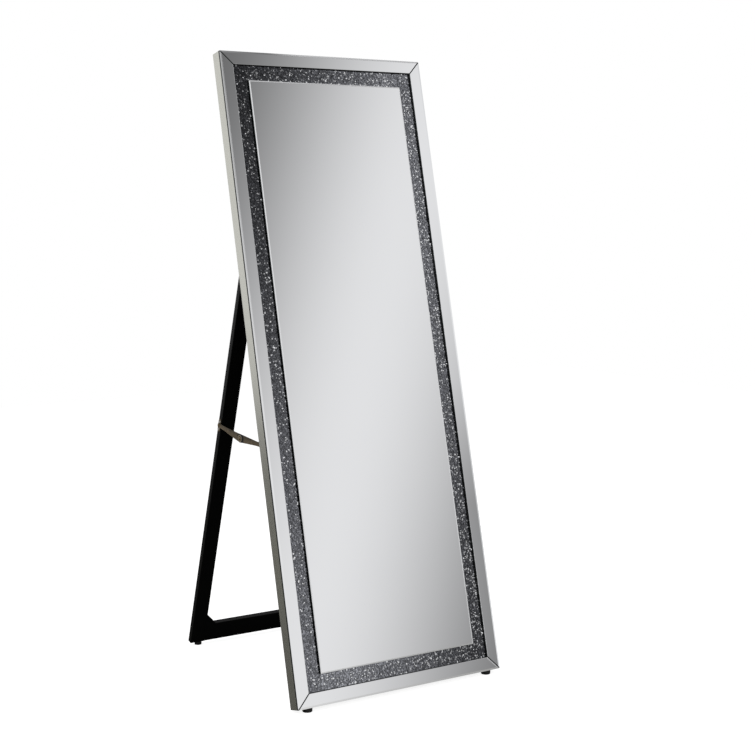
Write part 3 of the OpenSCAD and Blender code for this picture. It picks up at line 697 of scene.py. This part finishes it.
# %% Where the flakes lie
GRAIN, JITTER = 3.1 * MM, 0.8
RADII_IN_MM = 1.7, 3.2
FLAT_TILT, ASKEW_TILTS = 0.7, (4, 24)
ASKEW = {"crystals_left": 0.08, "crystals_right": 0.18, "crystals_top": 0.17, "crystals_bottom": 0.15}
BED_TOP, GLUE_TOP, BED_FLOOR = 6.05 * MM, 7.5 * MM, 11.0 * MM


def bed_corners(name):
    points = np.zeros(len(solid[name].data.vertices) * 3)
    solid[name].data.vertices.foreach_get("co", points)
    turn = np.array(room_to_panel)
    points = points.reshape(-1, 3) @ turn[:3, :3].T + turn[:3, 3]
    return points.min(0), points.max(0)


def lay_out(name, low, high):
    columns, rows = int((high[0] - low[0]) / GRAIN), int((high[2] - low[2]) / GRAIN)
    across, up = np.meshgrid(np.linspace(low[0], high[0], columns + 1)[:-1],
                             np.linspace(low[2], high[2], rows + 1)[:-1])
    count = across.size
    radii = chance.uniform(*RADII_IN_MM, count) * MM
    askew = chance.random(count) < ASKEW[name]
    steep, flat = chance.uniform(*ASKEW_TILTS, count), np.abs(chance.normal(0, FLAT_TILT, count))
    tilts = np.radians(np.where(askew, steep, flat))
    jitter = chance.uniform(-JITTER, JITTER, (2, count)) * GRAIN
    x = np.clip(across.ravel() + GRAIN / 2 + jitter[0], low[0] + radii, high[0] - radii)
    z = np.clip(up.ravel() + GRAIN / 2 + jitter[1], low[2] + radii, high[2] - radii)
    highest = BED_TOP + radii * (np.sin(tilts) + FLAKE_THICKNESS)
    y = highest + chance.random(count) * np.maximum(GLUE_TOP - highest, 0)
    return np.stack([x, y, z], 1), radii, tilts


# %% [markdown]
# The copies of all eight flakes are gathered in one mesh. A black slab of glue closes the gaps under them,
# and the finished bed is carried to the room.


# %% The mesh of a bed
def add_glue(bed, low, high):
    glue = bmesh.ops.create_cube(bed, size=1)["verts"]
    bmesh.ops.scale(bed, vec=(high[0] - low[0], BED_FLOOR - GLUE_TOP, high[2] - low[2]), verts=glue)
    middle = ((low[0] + high[0]) / 2, (BED_FLOOR + GLUE_TOP) / 2, (low[2] + high[2]) / 2)
    bmesh.ops.translate(bed, vec=middle, verts=glue)


def bed_mesh(name):
    low, high = bed_corners(name)
    centres, radii, tilts = lay_out(name, low, high)
    bed = bmesh.new()
    for kind, flake in enumerate(flakes):
        mine = np.arange(len(radii)) % len(flakes) == kind
        copies = many_flakes(flake, centres[mine], radii[mine], tilts[mine])
        bed.from_mesh(copies)
        bpy.data.meshes.remove(copies)
    add_glue(bed, low, high)
    bmesh.ops.transform(bed, matrix=panel_to_room, verts=bed.verts[:])
    mesh = bpy.data.meshes.new(name.replace("crystals", "crystal_bed"))
    bed.to_mesh(mesh)
    bed.free()
    return mesh, len(radii)


# %% [markdown]
# A random number on each face, kept as an attribute, says how much of its silver is left. Faces that lean
# a little keep the most and the steep sides of the flakes the least. The glue's own six faces, which come
# last in the mesh, get a low number and stay dark.

# %% How much silver each face keeps
LIES_FLAT, LEANS = 0.998, 0.9
FLAT_LEAST, FLAT_SPREAD = 0.25, 0.8
LEANING_LEAST, LEANING_SPREAD = 0.5, 0.65
STEEP_LEAST, STEEP_SPREAD = 0.15, 0.4
GLUE_FACES, GLUE_GLINT = 6, 0.3


def mark_glints(mesh):
    normals = np.zeros(len(mesh.polygons) * 3)
    mesh.polygons.foreach_get("normal", normals)
    facing = np.abs(normals.reshape(-1, 3) @ np.array(panel_to_room)[:3, 1])
    shares = chance.random(len(mesh.polygons))
    flat = FLAT_LEAST + FLAT_SPREAD * shares
    leaning = LEANING_LEAST + LEANING_SPREAD * shares
    steep = STEEP_LEAST + STEEP_SPREAD * shares
    shares = np.where(facing > LIES_FLAT, flat, np.where(facing > LEANS, leaning, steep))
    shares[-GLUE_FACES:] = GLUE_GLINT
    glint = mesh.attributes.new("glint", "FLOAT", "FACE")
    glint.data.foreach_set("value", shares.astype(np.float32))


# %% [markdown]
# Most faces are dulled glass over the dark glue. The few whose number passes a limit are whole and flash, and
# there are more of them towards the right, above all near the floor. The beds aren't equally bright either: a
# painted sheen is strongest along a slanting line, the left bed has painted shade as a whole, and the right
# one more and more up to its middle.

# %% Crystal
WHOLE_FROM, WHOLE_RIGHT, WHOLE_UP = 0.97, 0.2, 0.12
SHEEN_SLOPE, SHEEN_FOOT, SHEEN_REACH = 2.8, 570 * MM, 1400 * MM
SHEEN, SHEEN_SWING = 1.23, 0.42
LEFT_SHADE, RIGHT_SHADE, RIGHT_SHADE_UP = 0.27, 0.22, 800 * MM
BED_INNER = PANEL_HALF - STRIP - BORDER
WORN_SILVER, WHOLE_SILVER = (0.895, 0.915, 1.0, 1), (0.93, 0.94, 0.96, 1)
LEAST_SILVER, SILVER_SPREAD = 0.03, 0.34
DUST, DUST_SHARE, GRIME_ROUGH = (0.09, 0.092, 0.098, 1), 0.25, 0.03


def crushed(finish):
    glint = finish.node("ShaderNodeAttribute", {"attribute_name": "glint"}, output="Fac")
    place = panel_place(finish)
    across, up = place.part("X"), place.part("Z")
    cloud = finish.noise(place, scale=30.0, detail=3.0)
    grime = finish.noise(place, scale=900.0, detail=2.0)
    whole = glint + across * (WHOLE_RIGHT - up * WHOLE_UP) > WHOLE_FROM
    off_line = abs(up - across * SHEEN_SLOPE - SHEEN_FOOT) * (math.pi / SHEEN_REACH)
    sheen = off_line.at_most(math.pi).cosine() * SHEEN_SWING + SHEEN
    left, right = across < -BED_INNER, across > BED_INNER
    shade = left * LEFT_SHADE + right * (up / RIGHT_SHADE_UP).at_most(1) * RIGHT_SHADE
    # the silver left on each face is scaled by a painted sheen and by painted shade on the left bed and the
    # upper right bed
    silver = (glint * SILVER_SPREAD + LEAST_SILVER) * (sheen * (1 - shade))
    worn_silver_with_sheen = finish.colour_mix(silver, BLACK, WORN_SILVER)
    worn_silver_with_sheen = finish.colour_mix(cloud * DUST_SHARE, worn_silver_with_sheen, DUST)
    return {
        "Base_Color": finish.colour_mix(whole, worn_silver_with_sheen, WHOLE_SILVER),
        "Metallic": 1.0,
        "Roughness": finish.between(glint, start=0.12, end=0.02) + grime * GRIME_ROUGH,
    }


crystal = material("crushed_crystal", crushed)
print(crystal.name, "is ready")


# %% Lay the four beds
def crystal_bed(name):
    mesh, count = bed_mesh(name)
    mark_glints(mesh)
    piece = bpy.data.objects.new(mesh.name, mesh)
    bpy.context.scene.collection.objects.link(piece)
    mesh.materials.append(crystal)
    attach(piece, "panel")
    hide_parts(name)
    mesh.calc_loop_triangles()
    print(piece.name, count, "flakes,", len(mesh.loop_triangles), "triangles")


for side in ("left", "right", "top", "bottom"):
    crystal_bed("crystals_" + side)
for flake in flakes:
    flake.free()
